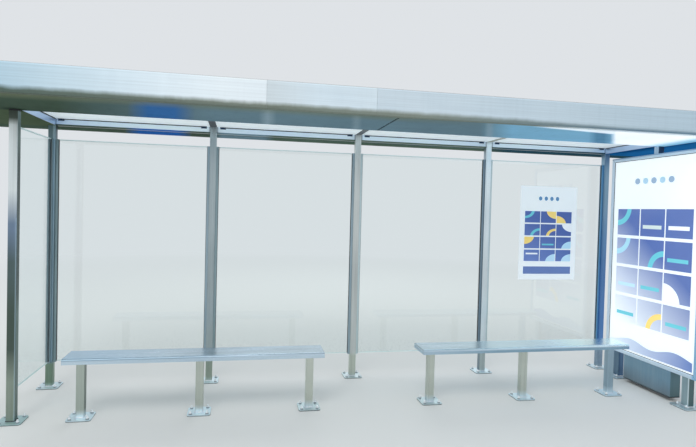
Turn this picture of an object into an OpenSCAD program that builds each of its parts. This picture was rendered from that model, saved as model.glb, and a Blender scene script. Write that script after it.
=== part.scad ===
// Bus shelter with four bays: square stainless posts, a boxed overhanging roof with
// opal ceiling panels, clear back and side panels, two benches and a lit poster box.
// Millimetres, Z up. The ground is Z = 0, the roof's plan centre is over the origin,
// and the open front faces -Y.

/* [Bays and posts] */
// Distance between the axes of neighbouring rear posts
bay_w = 1360; // [1300:5:1600]
// Distance between the axes of the rear and the front posts
row_gap = 785; // [760:5:900]
// Side of the square post and beam tube
post_w = 60; // [50:1:70]
// Wall of every tube
tube_wall = 3; // [2:0.5:5]
// Outer corner radius of every tube
tube_r = 6; // [4:0.5:10]
// Height of the roof's underside above the ground
soffit_z = 2290; // [2270:5:2500]
// Height of the open joint between the front post and the roof
joint_gap = 12; // [4:1:20]
// Length of the neck that is welded into the front post's top
neck_len = 120; // [60:10:200]
// Play of the neck in the soffit's hole
neck_play = 1; // [0.5:0.5:1.5]

/* [Base plates] */
// Side of a square base plate
plate_w = 175; // [160:5:240]
// Thickness of every base plate
plate_t = 10; // [8:1:16]
// Corner radius of every base plate
plate_r = 20; // [2:1:24]
// Distance between the anchor holes of a square plate
anchor_pitch = 125; // [100:5:130]
// Diameter of an anchor hole
anchor_d = 14; // [10:1:18]

/* [Roof] */
// Depth of the roof from front to rear edge
roof_depth = 1750; // [1650:10:1900]
// Distance from the rear post axis to the roof's rear edge
rear_overhang = 290; // [180:10:300]
// Distance from the end post axis to the roof's end
end_overhang = 600; // [400:10:900]
// Height of the roof box
roof_h = 185; // [160:5:260]
// Outer radius of the fascia's rounded lower lip
lip_r = 45; // [20:5:60]
// Depth of the fascia's flanges from its outer face
lip_depth = 65; // [65:1:90]
// Thickness of the fascia, soffit and deck sheet
sheet_t = 2; // [1.5:0.5:4]
// Place of the left joint in the front fascia
seam_left_x = -940; // [-1400:10:-400]
// Place of the right joint in the front fascia
seam_right_x = -180; // [-300:10:600]
// Width of the open joint between sheets
seam_gap = 1; // [0.5:0.5:4]
// Width of the open joint in the middle of the front soffit
soffit_gap = 4; // [0.5:0.5:8]
// Thickness of a ceiling panel
ceiling_t = 5; // [3:1:10]
// Gap between a ceiling panel and a cross beam
ceiling_gap = 2; // [1:0.5:4]

/* [Glazing] */
// Height of the glass's lower edge
glass_z0 = 228; // [200:1:300]
// Height of the glass's upper edge
glass_z1 = 2175; // [2000:5:2200]
// Thickness of the glass
glass_t = 10; // [6:1:12]
// Width of a glazing channel, seen from the front
channel_w = 20; // [16:1:30]
// Depth of a glazing channel
channel_d = 32; // [24:1:38]
// Depth that the glass enters into the channel
glass_bite = 14; // [8:1:14]
// Height of the channel's closed foot, which the glass stands on
channel_foot = 8; // [4:1:20]

/* [Benches] */
// Distance between the middles of the two benches
bench_pitch = 2770; // [2600:5:3000]
// Length of a bench seat
seat_len = 1940; // [1880:10:2200]
// Depth of a bench seat
seat_d = 250; // [220:5:300]
// Height of the seat above the ground
seat_z = 480; // [420:5:500]
// Height of the seat's folded edge
seat_lip = 42; // [30:1:60]
// Width of the flange folded inwards under the seat's edge
seat_flange = 20; // [12:1:30]
// Radius of the seat's upper long edges
seat_r = 12; // [6:1:16]
// Thickness of the seat sheet
seat_t = 3; // [2:0.5:5]
// Distance from the bench's axis to the rear post axis
bench_setback = 775; // [600:5:790]
// Distance from the seat's end to the axis of the outer leg
leg_inset = 105; // [95:5:300]

/* [Poster box] */
// Width of the poster box along the shelter's depth
box_w = 1130; // [1100:10:1240]
// Thickness of the poster box
box_t = 110; // [100:5:180]
// Height of the box's lower edge
box_z0 = 265; // [220:5:320]
// Height of the box's upper edge
box_z1 = 2220; // [2100:5:2260]
// Gap between the rear post's axis and the box's rear edge
box_gap = 180; // [100:5:200]
// Distance from the end post's axis to the box's middle
box_shift = 0; // [-10:5:30]
// Width of the frame around each poster
frame_w = 35; // [20:1:45]
// Thickness of the frame around each poster
frame_t = 12; // [8:1:16]
// Radius of the frame's outer edge
frame_r = 6; // [2:0.5:7]
// Bevel of the frame's inner edge
frame_bevel = 4; // [1:0.5:6]
// Wall of the box's sheet body
box_wall = 3; // [2:0.5:5]
// Thickness of the opal sheet that carries a poster
poster_t = 6; // [4:1:10]
// Thickness of a box leg along the shelter
box_leg_x = 60; // [40:1:70]
// Width of a box leg along the shelter's depth
box_leg_y = 75; // [60:1:90]
// Distance from the box's edge to the axis of its leg
box_leg_inset = 135; // [120:5:175]
// Base plate of a box leg along the shelter
box_plate_x = 200; // [170:5:220]
// Base plate of a box leg along the shelter's depth
box_plate_y = 190; // [170:5:240]
// Anchor distance of a box leg along the shelter
box_anchor_x = 110; // [100:5:130]
// Anchor distance of a box leg along the shelter's depth
box_anchor_y = 95; // [90:5:140]

/* [Equipment case] */
// Width of the equipment case between the box legs
case_w = 590; // [400:10:600]
// Depth of the equipment case
case_d = 105; // [80:5:130]
// Height of the equipment case's underside
case_z0 = 30; // [12:1:60]
// Radius of the case's upright edges
case_r = 5; // [4:0.5:12]

/* [Notice on the glass] */
// Width of the paper notice
notice_w = 650; // [400:5:900]
// Height of the paper notice
notice_h = 975; // [600:5:1200]
// Height of the notice's lower edge
notice_z0 = 950; // [700:10:1100]
// Distance from the pane's middle to the notice's middle
notice_shift = 25; // [-100:5:100]
// Thickness of the notice on its backing card
notice_t = 2; // [1:0.5:5]

/* [Hidden] */
$fn = 64;
bays = 4;
// Overshoot of a cut beyond the surface that it opens
cut = 1;
roof_len = bays * bay_w + 2 * end_overhang;
y_rear = roof_depth / 2 - rear_overhang;
y_front = y_rear - row_gap;
x_left = -bays * bay_w / 2;
x_right = bays * bay_w / 2;
tube_r_in = max(tube_r - tube_wall, 0.5);
neck_w = post_w - 2 * tube_wall;
beam_z0 = soffit_z + sheet_t;
beam_z1 = beam_z0 + post_w;
deck_z0 = soffit_z + roof_h - sheet_t;
y_bench = y_rear - bench_setback;
leg_pitch = seat_len / 2 - leg_inset;
x_box = x_right + box_shift;
y_box = y_rear - box_gap - box_w / 2;
slot_back = channel_w - glass_bite;

steel = "#b9c2c6";
bright_steel = "#ccd8e0";
glass_tint = [0.75, 0.88, 0.9, 0.35];
frame_tint = "#b9c6dc";

function x_post(i) = x_left + i * bay_w;

// A rectangle around the origin with four round corners
module rounded_rect(size_x, size_y, radius) {
    square([size_x, size_y - 2 * radius], center = true);
    square([size_x - 2 * radius, size_y], center = true);
    for (sx = [-1, 1], sy = [-1, 1])
        translate([sx * (size_x / 2 - radius), sy * (size_y / 2 - radius)])
            circle(r = radius);
}

// The section of a tube whose inner corners follow the outer ones
module tube_section(size_x, size_y) {
    difference() {
        rounded_rect(size_x, size_y, tube_r);
        rounded_rect(size_x - 2 * tube_wall, size_y - 2 * tube_wall, tube_r_in);
    }
}

// A tube standing on z0, open at both ends
module upright_tube(size_x, size_y, z0, z1) {
    translate([0, 0, z0])
        linear_extrude(z1 - z0)
            tube_section(size_x, size_y);
}

// A plate on the ground with four anchor holes
module base_plate(size_x, size_y, pitch_x, pitch_y) {
    difference() {
        linear_extrude(plate_t)
            rounded_rect(size_x, size_y, plate_r);
        for (sx = [-1, 1], sy = [-1, 1])
            translate([sx * pitch_x / 2, sy * pitch_y / 2, -cut])
                cylinder(d = anchor_d, h = plate_t + 2 * cut);
    }
}

// A tube welded on a square base plate
module footed_post(z1) {
    color(steel) {
        base_plate(plate_w, plate_w, anchor_pitch, anchor_pitch);
        upright_tube(post_w, post_w, plate_t, z1);
    }
}

module rear_post(i) {
    translate([x_post(i), y_rear, 0])
        footed_post(beam_z1);
}

// The neck fills the tube's bore below the joint and passes through the soffit to the beam
module front_left_post() {
    z_joint = soffit_z - joint_gap;
    translate([x_left, y_front, 0]) {
        footed_post(z_joint);
        color(steel)
            translate([0, 0, z_joint - neck_len])
                linear_extrude(beam_z0 - z_joint + neck_len)
                    difference() {
                        rounded_rect(neck_w, neck_w, tube_r_in);
                        square(neck_w - 2 * tube_wall, center = true);
                    }
    }
}

// The short post that stands on the poster box and carries the roof's right end
module front_right_stub() {
    color(steel)
        translate([x_right, y_box, 0])
            upright_tube(post_w, post_w, box_z1, soffit_z);
}

// A beam tube along X, its axis at y and its underside at z
module beam_along_x(x0, x1, y, z, height) {
    translate([x0, y, z + height / 2])
        rotate([90, 0, 90])
            linear_extrude(x1 - x0)
                tube_section(post_w, height);
}

// A beam tube along Y, its axis at x and its underside at z
module beam_along_y(y0, y1, x, z, height) {
    translate([x, y1, z + height / 2])
        rotate([90, 0, 0])
            linear_extrude(y1 - y0)
                tube_section(post_w, height);
}

module front_beam() {
    color(steel)
        beam_along_x(x_left - post_w / 2, x_right + post_w / 2, y_front, beam_z0, post_w);
}

module rear_beam() {
    color(steel)
        for (i = [0:bays - 1])
            beam_along_x(x_post(i) + post_w / 2, x_post(i + 1) - post_w / 2,
                y_rear, beam_z0, post_w);
}

module side_beams() {
    color(steel)
        for (x = [x_left, x_right])
            beam_along_y(y_front + post_w / 2, y_rear - post_w / 2, x, beam_z0, post_w);
}

// Deep beams on top of the ring, which carry the deck out over the front
module cross_beams() {
    reach = roof_depth / 2 - lip_depth;
    color(steel)
        for (i = [1:bays - 1])
            beam_along_y(-reach, reach, x_post(i), beam_z1, deck_z0 - beam_z1);
}

// An opal panel lying on the ring of beams, between two cross beams
module ceiling_panel(i) {
    x0 = i == 0 ? x_left : x_post(i) + post_w / 2 + ceiling_gap;
    x1 = i == bays - 1 ? x_right : x_post(i + 1) - post_w / 2 - ceiling_gap;
    color("#eef2f4")
        translate([x0, y_front, beam_z1])
            cube([x1 - x0, row_gap, ceiling_t]);
}

// The child's outline carried along the -Y edge of a run by 2 * reach rectangle, its X
// pointing inwards from the edge, and mitred at both ends
module mitred_bar(run, reach, depth, height) {
    intersection() {
        translate([-run / 2, -reach, 0])
            rotate([90, 0, 90])
                linear_extrude(run)
                    children();
        translate([0, 0, -cut])
            linear_extrude(height + 2 * cut)
                polygon([
                    [-run / 2, -reach],
                    [run / 2, -reach],
                    [run / 2 - depth, -reach + depth],
                    [-run / 2 + depth, -reach + depth]
                ]);
    }
}

// Filled outline of the roof's edge: square above, rounded at the outer lower corner
module edge_outline(depth, height, radius) {
    translate([0, radius])
        square([depth, height - radius]);
    translate([radius, 0])
        square([depth - radius, height]);
    translate([radius, radius])
        circle(r = radius);
}

// The folded fascia sheet: top flange, face, rounded lip and bottom flange
module fascia_section() {
    height = deck_z0 - soffit_z;
    difference() {
        edge_outline(lip_depth, height, lip_r);
        translate([sheet_t, sheet_t])
            edge_outline(lip_depth, height - 2 * sheet_t, lip_r - sheet_t);
    }
}

// The whole fascia along one side of the roof
module fascia(run, reach) {
    color(bright_steel)
        translate([0, 0, soffit_z])
            mitred_bar(run, reach, lip_depth, roof_h)
                fascia_section();
}

// The stretch of the front fascia between two joints
module front_fascia(x0, x1) {
    intersection() {
        fascia(roof_len, roof_depth / 2);
        translate([x0, -roof_depth / 2 - cut, soffit_z - cut])
            cube([x1 - x0, lip_depth + 2 * cut, roof_h + 2 * cut]);
    }
}

module front_fascia_left() {
    front_fascia(-roof_len / 2 - cut, seam_left_x - seam_gap / 2);
}

module front_fascia_middle() {
    front_fascia(seam_left_x + seam_gap / 2, seam_right_x - seam_gap / 2);
}

module front_fascia_right() {
    front_fascia(seam_right_x + seam_gap / 2, roof_len / 2 + cut);
}

module rear_fascia() {
    rotate([0, 0, 180])
        fascia(roof_len, roof_depth / 2);
}

module left_end_fascia() {
    rotate([0, 0, -90])
        fascia(roof_depth, roof_len / 2);
}

module right_end_fascia() {
    rotate([0, 0, 90])
        fascia(roof_depth, roof_len / 2);
}

// A flat sheet of the roof with its underside at z
module roof_sheet(x0, x1, y0, y1, z) {
    color(bright_steel)
        translate([x0, y0, z])
            cube([x1 - x0, y1 - y0, sheet_t]);
}

module front_soffit(x0, x1) {
    roof_sheet(x0, x1, -roof_depth / 2 + lip_depth, y_front + post_w / 2, soffit_z);
}

// The left half of the front soffit, with a hole for the front post's neck
module front_soffit_left() {
    hole_w = neck_w + 2 * neck_play;
    difference() {
        front_soffit(-roof_len / 2 + lip_depth, -soffit_gap / 2);
        translate([x_left - hole_w / 2, y_front - hole_w / 2, soffit_z - cut])
            cube([hole_w, hole_w, sheet_t + 2 * cut]);
    }
}

module front_soffit_right() {
    front_soffit(soffit_gap / 2, roof_len / 2 - lip_depth);
}

module rear_soffit() {
    roof_sheet(-roof_len / 2 + lip_depth, roof_len / 2 - lip_depth,
        y_rear + post_w / 2, roof_depth / 2 - lip_depth, soffit_z);
}

// The underside of the left overhang, cut out around the corner post
module left_end_soffit() {
    difference() {
        roof_sheet(-roof_len / 2 + lip_depth, x_left + post_w / 2,
            y_front + post_w / 2, y_rear + post_w / 2, soffit_z);
        translate([x_left - post_w / 2, y_rear - post_w / 2, soffit_z - cut])
            cube([post_w + cut, post_w + cut, sheet_t + 2 * cut]);
    }
}

module end_soffits() {
    left_end_soffit();
    mirror([1, 0, 0])
        left_end_soffit();
}

// One deck sheet over each bay, jointed over the cross beams
module roof_deck() {
    for (i = [0:bays - 1]) {
        x0 = i == 0 ? -roof_len / 2 : x_post(i) + seam_gap / 2;
        x1 = i == bays - 1 ? roof_len / 2 : x_post(i + 1) - seam_gap / 2;
        roof_sheet(x0, x1, -roof_depth / 2, roof_depth / 2, deck_z0);
    }
}

module back_glass(i) {
    x0 = x_post(i) + post_w / 2 + slot_back;
    x1 = x_post(i + 1) - post_w / 2 - slot_back;
    color(glass_tint)
        translate([x0, y_rear - glass_t / 2, glass_z0])
            cube([x1 - x0, glass_t, glass_z1 - glass_z0]);
}

module left_side_glass() {
    y0 = y_front + post_w / 2 + slot_back;
    y1 = y_rear - post_w / 2 - slot_back;
    color(glass_tint)
        translate([x_left - glass_t / 2, y0, glass_z0])
            cube([glass_t, y1 - y0, glass_z1 - glass_z0]);
}

// A channel with its back at x = 0 and its slot toward +X, closed by a foot below
module glazing_channel() {
    translate([0, 0, glass_z0])
        linear_extrude(glass_z1 - glass_z0)
            difference() {
                translate([0, -channel_d / 2])
                    square([channel_w, channel_d]);
                translate([slot_back, -glass_t / 2])
                    square([glass_bite + cut, glass_t]);
            }
    translate([0, -channel_d / 2, glass_z0 - channel_foot])
        cube([channel_w, channel_d, channel_foot]);
}

module back_glazing_channels() {
    color(steel)
        for (i = [0:bays - 1]) {
            translate([x_post(i) + post_w / 2, y_rear, 0])
                glazing_channel();
            translate([x_post(i + 1) - post_w / 2, y_rear, 0])
                rotate([0, 0, 180])
                    glazing_channel();
        }
}

module side_glazing_channels() {
    color(steel) {
        translate([x_left, y_front + post_w / 2, 0])
            rotate([0, 0, 90])
                glazing_channel();
        translate([x_left, y_rear - post_w / 2, 0])
            rotate([0, 0, -90])
                glazing_channel();
    }
}

// Filled outline of the seat: both upper edges rounded, lower edges square
module seat_outline(depth, height, radius) {
    translate([-depth / 2, 0])
        square([depth, height - radius]);
    translate([-depth / 2 + radius, 0])
        square([depth - 2 * radius, height]);
    for (side = [-1, 1])
        translate([side * (depth / 2 - radius), height - radius])
            circle(r = radius);
}

// The space inside the seat: the hollow above the flanges and the slot between them
module seat_hollow() {
    translate([0, seat_t])
        seat_outline(seat_d - 2 * seat_t, seat_lip - 2 * seat_t, seat_r - seat_t);
    translate([-seat_d / 2 + seat_flange, -cut])
        square([seat_d - 2 * seat_flange, seat_lip / 2]);
}

// A seat folded from sheet, with flanges below and a closed end at each side
module bench_seat(x) {
    color(bright_steel)
        translate([x - seat_len / 2, y_bench, seat_z - seat_lip])
            rotate([90, 0, 90])
                difference() {
                    linear_extrude(seat_len)
                        seat_outline(seat_d, seat_lip, seat_r);
                    translate([0, 0, seat_t])
                        linear_extrude(seat_len - 2 * seat_t)
                            seat_hollow();
                }
}

module bench_legs(x) {
    for (k = [-1:1])
        translate([x + k * leg_pitch, y_bench, 0])
            footed_post(seat_z - seat_t);
}

// The sheet body of the box between its two frames, open toward both posters
module poster_box_body() {
    height = box_z1 - box_z0;
    color("#a9b6c6")
        translate([x_box - box_t / 2 + frame_t, y_box, box_z0 + height / 2])
            rotate([90, 0, 90])
                linear_extrude(box_t - 2 * frame_t)
                    difference() {
                        square([box_w, height], center = true);
                        square([box_w - 2 * box_wall, height - 2 * box_wall], center = true);
                    }
}

// The frame's section: rounded at the outer edge, bevelled toward the poster
module frame_section() {
    difference() {
        union() {
            square([frame_w, frame_t - frame_r]);
            translate([frame_r, 0])
                square([frame_w - frame_r, frame_t]);
            translate([frame_r, frame_t - frame_r])
                circle(r = frame_r);
        }
        polygon([
            [frame_w - frame_bevel - cut, frame_t + cut],
            [frame_w + cut, frame_t + cut],
            [frame_w + cut, frame_t - frame_bevel - cut]
        ]);
    }
}

// Four mitred lengths around a poster, their back on z = 0
module poster_frame() {
    height = box_z1 - box_z0;
    color(frame_tint)
        for (side = [0, 180]) {
            rotate([0, 0, side])
                mitred_bar(box_w, height / 2, frame_w, frame_t)
                    frame_section();
            rotate([0, 0, side + 90])
                mitred_bar(height, box_w / 2, frame_w, frame_t)
                    frame_section();
        }
}

module inner_poster_frame() {
    translate([x_box - box_t / 2 + frame_t, y_box, (box_z0 + box_z1) / 2])
        rotate([90, 0, -90])
            poster_frame();
}

module outer_poster_frame() {
    translate([x_box + box_t / 2 - frame_t, y_box, (box_z0 + box_z1) / 2])
        rotate([90, 0, 90])
            poster_frame();
}

// An opal sheet behind a frame, within the box body's walls
module poster_sheet(x0) {
    color("#f6f8fb")
        translate([x0, y_box - box_w / 2 + box_wall, box_z0 + box_wall])
            cube([poster_t, box_w - 2 * box_wall, box_z1 - box_z0 - 2 * box_wall]);
}

module inner_poster() {
    poster_sheet(x_box - box_t / 2 + frame_t);
}

module outer_poster() {
    poster_sheet(x_box + box_t / 2 - frame_t - poster_t);
}

module poster_box_legs() {
    reach = box_w / 2 - box_leg_inset;
    color("#7d8c95")
        for (side = [-1, 1])
            translate([x_box, y_box + side * reach, 0]) {
                base_plate(box_plate_x, box_plate_y, box_anchor_x, box_anchor_y);
                upright_tube(box_leg_x, box_leg_y, plate_t, box_z0);
            }
}

// The case under the box, open above where the box's underside closes it
module equipment_case() {
    color("#5f7680")
        translate([x_box, y_box, case_z0])
            difference() {
                linear_extrude(box_z0 - case_z0)
                    rounded_rect(case_d, case_w, case_r);
                translate([0, 0, box_wall])
                    linear_extrude(box_z0 - case_z0)
                        rounded_rect(case_d - 2 * box_wall, case_w - 2 * box_wall,
                            max(case_r - box_wall, 0.5));
            }
}

// The paper notice on the inner face of the last bay's glass
module glass_notice() {
    x_mid = x_post(bays) - bay_w / 2 + notice_shift;
    color("#e9edf2")
        translate([x_mid - notice_w / 2, y_rear - glass_t / 2 - notice_t, notice_z0])
            cube([notice_w, notice_t, notice_h]);
}

rear_post(0);  // rear_post_1
rear_post(1);  // rear_post_2
rear_post(2);  // rear_post_3
rear_post(3);  // rear_post_4
rear_post(4);  // rear_post_5
front_left_post();
front_right_stub();
front_beam();
rear_beam();
side_beams();
cross_beams();
ceiling_panel(0);  // ceiling_panel_1
ceiling_panel(1);  // ceiling_panel_2
ceiling_panel(2);  // ceiling_panel_3
ceiling_panel(3);  // ceiling_panel_4
front_fascia_left();
front_fascia_middle();
front_fascia_right();
rear_fascia();
left_end_fascia();
right_end_fascia();
front_soffit_left();
front_soffit_right();
rear_soffit();
end_soffits();
roof_deck();
back_glass(0);  // back_glass_1
back_glass(1);  // back_glass_2
back_glass(2);  // back_glass_3
back_glass(3);  // back_glass_4
left_side_glass();
back_glazing_channels();
side_glazing_channels();
bench_seat(-bench_pitch / 2);  // left_bench_seat
bench_legs(-bench_pitch / 2);  // left_bench_legs
bench_seat(bench_pitch / 2);  // right_bench_seat
bench_legs(bench_pitch / 2);  // right_bench_legs
poster_box_body();
inner_poster_frame();
inner_poster();
outer_poster_frame();
outer_poster();
poster_box_legs();
equipment_case();
glass_notice();
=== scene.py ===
"""Dresses the bus shelter: brushed steel, clear panels, lit posters and the small
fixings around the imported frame. Metres, Z up, the open front faces -Y. The colours of
surfaces are written as they look on a screen, from 0 to 1."""

import math

import bmesh
import bpy
import numpy as np
from mathutils import Matrix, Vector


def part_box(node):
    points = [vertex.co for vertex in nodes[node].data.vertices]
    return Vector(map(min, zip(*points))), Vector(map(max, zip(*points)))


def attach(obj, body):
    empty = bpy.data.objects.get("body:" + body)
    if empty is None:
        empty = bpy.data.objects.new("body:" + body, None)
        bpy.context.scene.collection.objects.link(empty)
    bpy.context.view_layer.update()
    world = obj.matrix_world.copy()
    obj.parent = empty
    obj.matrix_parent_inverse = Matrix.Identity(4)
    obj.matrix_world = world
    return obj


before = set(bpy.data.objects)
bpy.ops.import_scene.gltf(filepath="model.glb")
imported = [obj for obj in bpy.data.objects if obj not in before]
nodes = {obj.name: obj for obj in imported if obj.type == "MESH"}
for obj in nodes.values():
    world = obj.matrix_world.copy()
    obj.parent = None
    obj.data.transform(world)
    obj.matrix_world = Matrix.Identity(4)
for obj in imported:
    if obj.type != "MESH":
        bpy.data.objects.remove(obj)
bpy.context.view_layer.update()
scene = bpy.context.scene


# Measures, those of whole nodes read from the frame

def middle(node):
    """The middle of a node's box."""
    low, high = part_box(node)
    return (low + high) / 2


SOFFIT = float(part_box("front_soffit_right")[0].z)
SOFFIT_FRONT = float(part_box("front_soffit_right")[0].y)
CEILING = float(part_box("ceiling_panel_2")[0].z)
ROOF_TOP = float(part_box("roof_deck")[1].z)
SEAT_TOP = float(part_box("left_bench_seat")[1].z)
GLASS_FOOT = float(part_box("back_glass_1")[0].z)
GLASS_TOP = float(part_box("back_glass_1")[1].z)
BOX_LOW = float(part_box("inner_poster_frame")[0].z)
BOX_HIGH = float(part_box("inner_poster_frame")[1].z)
BOX_FRONT = float(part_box("inner_poster_frame")[0].y)
BOX_REAR = float(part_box("inner_poster_frame")[1].y)
CASE_END = float(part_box("equipment_case")[0].y)
CASE_FOOT = 0.030
POST_HALF = 0.030                # half of the posts' and bench legs' tube
TUBE_R = 0.006                   # radius of their upright edges
BOX_LEG_HALF = (0.030, 0.0375)
BOX_REACH = 0.430                # from the poster box's middle to a leg
CHANNEL = 0.020                  # width of a glazing channel
GLASS_HALF = 0.005
PLATE_TOP = 0.010
PITCH_SQUARE = (0.125, 0.125)    # anchors of the square base plates
PITCH_BOX = (0.110, 0.095)       # anchors of the poster box's plates
SEAM_LEFT, SEAM_RIGHT = -0.94, -0.18     # joints of the front fascia
DECK_SHEET = 1.36                # width of the roof's upper sheets
Y_REAR = float(middle("rear_post_1").y)
Y_FRONT = float(middle("front_left_post").y)
POST_X = [float(middle("rear_post_%d" % i).x) for i in range(1, 6)]
FIRST_X, LAST_X = POST_X[0], POST_X[4]
BAY = POST_X[1] - FIRST_X
SIDE_X = LAST_X + POST_HALF      # outer side of the right side beam
WALL_REAR, WALL_FRONT = Y_REAR - POST_HALF, Y_FRONT + POST_HALF    # inner beam faces
BOX_X = float(middle("poster_box_legs").x)
BOX_Y = float(middle("poster_box_legs").y)
BENCH_Y = float(middle("left_bench_seat").y)


def bench_leg_x(side):
    """The three leg axes of a bench, from the outer sides of its base plates."""
    low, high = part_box(side + "_bench_legs")
    plate_half = (high.y - low.y) / 2
    return np.linspace(low.x + plate_half, high.x - plate_half, 3)


# Shader values

class Value:
    """One output of a node. + - * / and powers on it add Math nodes, so that a
    mask is written as the formula it stands for."""

    def __init__(self, board, socket):
        self.board = board
        self.socket = socket

    def _math(self, operation, first, second=0.0, **extra):
        return self.board.node("ShaderNodeMath", {"operation": operation, **extra},
                               {0: first, 1: second})

    def __add__(self, other):
        return self._math("ADD", self, other)

    def __sub__(self, other):
        return self._math("SUBTRACT", self, other)

    def __rsub__(self, other):
        return self._math("SUBTRACT", other, self)

    def __mul__(self, other):
        return self._math("MULTIPLY", self, other)

    def __truediv__(self, other):
        return self._math("DIVIDE", self, other)

    def __pow__(self, other):
        return self._math("POWER", self, other)

    def __abs__(self):
        return self._math("ABSOLUTE", self)

    __radd__, __rmul__ = __add__, __mul__

    def floor(self):
        """The next whole number below."""
        return self._math("FLOOR", self)

    def wrap(self):
        """The part behind the decimal point."""
        return self - self.floor()

    def beside(self, pitch):
        """The distance to the nearest multiple of pitch, negative before it."""
        return ((self / pitch + 0.5).wrap() - 0.5) * pitch

    def most(self, other):
        """The larger of the two."""
        return self._math("MAXIMUM", self, other)

    def sine(self):
        """The sine of an angle in radians."""
        return self._math("SINE", self)

    def clip(self):
        """The value held between 0 and 1."""
        return self._math("ADD", self, use_clamp=True)

    def above(self, edge, soft):
        """0 below the edge and 1 above it, with a straight ramp soft wide between."""
        return ((self - edge) / soft + 0.5).clip()

    def below(self, edge, soft):
        """1 below the edge and 0 above it."""
        return 1.0 - self.above(edge, soft)

    def within(self, low, high, soft):
        """1 between low and high and 0 outside, with soft borders."""
        return self.above(low, soft) * self.below(high, soft)


def reach(u, v):
    """The distance from the middle: the root of u squared plus v squared."""
    return (u * u + v * v) ** 0.5


def tone(colour):
    """A screen colour as the light levels a socket wants, or the link it came as: each
    part is ((c + 0.055) / 1.055) to the power 2.4, or c / 12.92 where it is very dark."""
    if isinstance(colour, Value):
        return colour
    parts = np.array(colour, float)
    light = np.where(parts > 0.04045, ((parts + 0.055) / 1.055) ** 2.4, parts / 12.92)
    return (*light.tolist(), 1.0)


class Tree:
    """The node tree of a material or of the world."""

    def __init__(self, owner):
        owner.use_nodes = True
        self.owner = owner
        self.tree = owner.node_tree
        self.tree.nodes.clear()

    def node(self, kind, settings, values, out=0):
        """Adds a node: its settings first, then numbers, colours or links by socket."""
        made = self.tree.nodes.new(kind)
        stops = settings.pop("stops", None)
        for key, value in settings.items():
            setattr(made, key, value)
        if stops:
            bar = made.color_ramp.elements
            while len(bar) < len(stops):
                bar.new(0.5)
            for element, (place, colour) in zip(bar, stops):
                element.position = place
                element.color = colour
        for key, value in values.items():
            if isinstance(value, Value):
                self.tree.links.new(value.socket, made.inputs[key])
            else:
                made.inputs[key].default_value = value
        return Value(self, made.outputs[out])

    def outputs(self, value, names):
        """Several outputs of the node that a value came from."""
        return [Value(self, value.socket.node.outputs[name]) for name in names]

    def seen(self):
        """1 for rays of the camera, of a mirror and through glass, 0 for the rest."""
        path = self.node("ShaderNodeLightPath", {}, {})
        straight, mirrored, through = self.outputs(
            path, ("Is Camera Ray", "Is Glossy Ray", "Is Transmission Ray"))
        return straight.most(mirrored.most(through))

    def mix(self, share, first, second):
        """The first shader turning into the second as share goes from 0 to 1."""
        return self.node("ShaderNodeMixShader", {}, {0: share, 1: first, 2: second})

    def end(self, kind, shader):
        """Ends the tree at the surface."""
        made = self.tree.nodes.new(kind)
        self.tree.links.new(shader.socket, made.inputs["Surface"])


class Board(Tree):
    """The node tree of one material, with its Object coordinates at hand."""

    def __init__(self, name):
        super().__init__(bpy.data.materials.new(name))
        self.place = self.node("ShaderNodeTexCoord", {}, {}, "Object")
        self.x, self.y, self.z = self.outputs(
            self.node("ShaderNodeSeparateXYZ", {}, {0: self.place}), (0, 1, 2))

    def noise(self, stretch, detail=3.0, rough=0.55, shift=(0.0, 0.0, 0.0)):
        """Soft noise of 0 to 1; stretch is how many times it turns over in a metre,
        one number or one for each axis."""
        if isinstance(stretch, float):
            stretch = (stretch,) * 3
        seat = self.node("ShaderNodeMapping", {},
                         {"Vector": self.place, "Scale": stretch, "Location": shift})
        return self.node("ShaderNodeTexNoise", {},
                         {"Vector": seat, "Scale": 1.0, "Detail": detail,
                          "Roughness": rough})

    def blend(self, share, first, second):
        """The first colour turning into the second as share goes from 0 to 1."""
        return self.node("ShaderNodeMix", {"data_type": "RGBA"},
                         {0: share, 6: tone(first), 7: tone(second)}, 2)

    def coats(self, colour, *coats):
        """A colour under coats laid one after another, each a share and a colour."""
        for share, over in coats:
            colour = self.blend(share, colour, over)
        return colour

    def zones(self, along, low, high, *colours):
        """Colours spread evenly from low to high along a direction, each turning
        slowly into the next."""
        stops = [(k / (len(colours) - 1), tone(c)) for k, c in enumerate(colours)]
        return self.node("ShaderNodeValToRGB", {"stops": stops},
                         {0: (along - low) / (high - low)})

    def tint(self, colour, amount):
        """A colour made lighter or darker by a number that is 1 where it stays."""
        return self.node("ShaderNodeVectorMath", {"operation": "SCALE"},
                         {0: colour, "Scale": amount})

    def random(self, x, y, seed):
        """A steady random number of 0 to 1 for each whole pair x and y."""
        seat = self.node("ShaderNodeCombineXYZ", {}, {0: x, 1: y, 2: seed})
        return self.node("ShaderNodeTexWhiteNoise", {"noise_dimensions": "3D"},
                         {"Vector": seat})

    def dents(self, height, depth):
        """A normal from a height of 0 to 1 that stands for depth metres."""
        return self.node("ShaderNodeBump", {}, {"Height": height, "Distance": depth,
                                                "Strength": 1.0})

    def finish(self, inputs, see_through=None):
        """Closes the material with a Principled shader, mixed with clear glass where
        see_through, a share and a filter colour, is given."""
        shader = self.node("ShaderNodeBsdfPrincipled", {}, inputs)
        if see_through:
            clear = self.node("ShaderNodeBsdfTransparent", {}, {0: see_through[1]})
            shader = self.mix(see_through[0], clear, shader)
        self.end("ShaderNodeOutputMaterial", shader)
        return self.owner


# Finishes

FINE = 900.0       # brush lines in a metre, across the grain
COARSE = 3.0       # how often a brush line changes in a metre, along the grain
FINE_DENT = 0.00006    # depth of the brush lines


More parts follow.
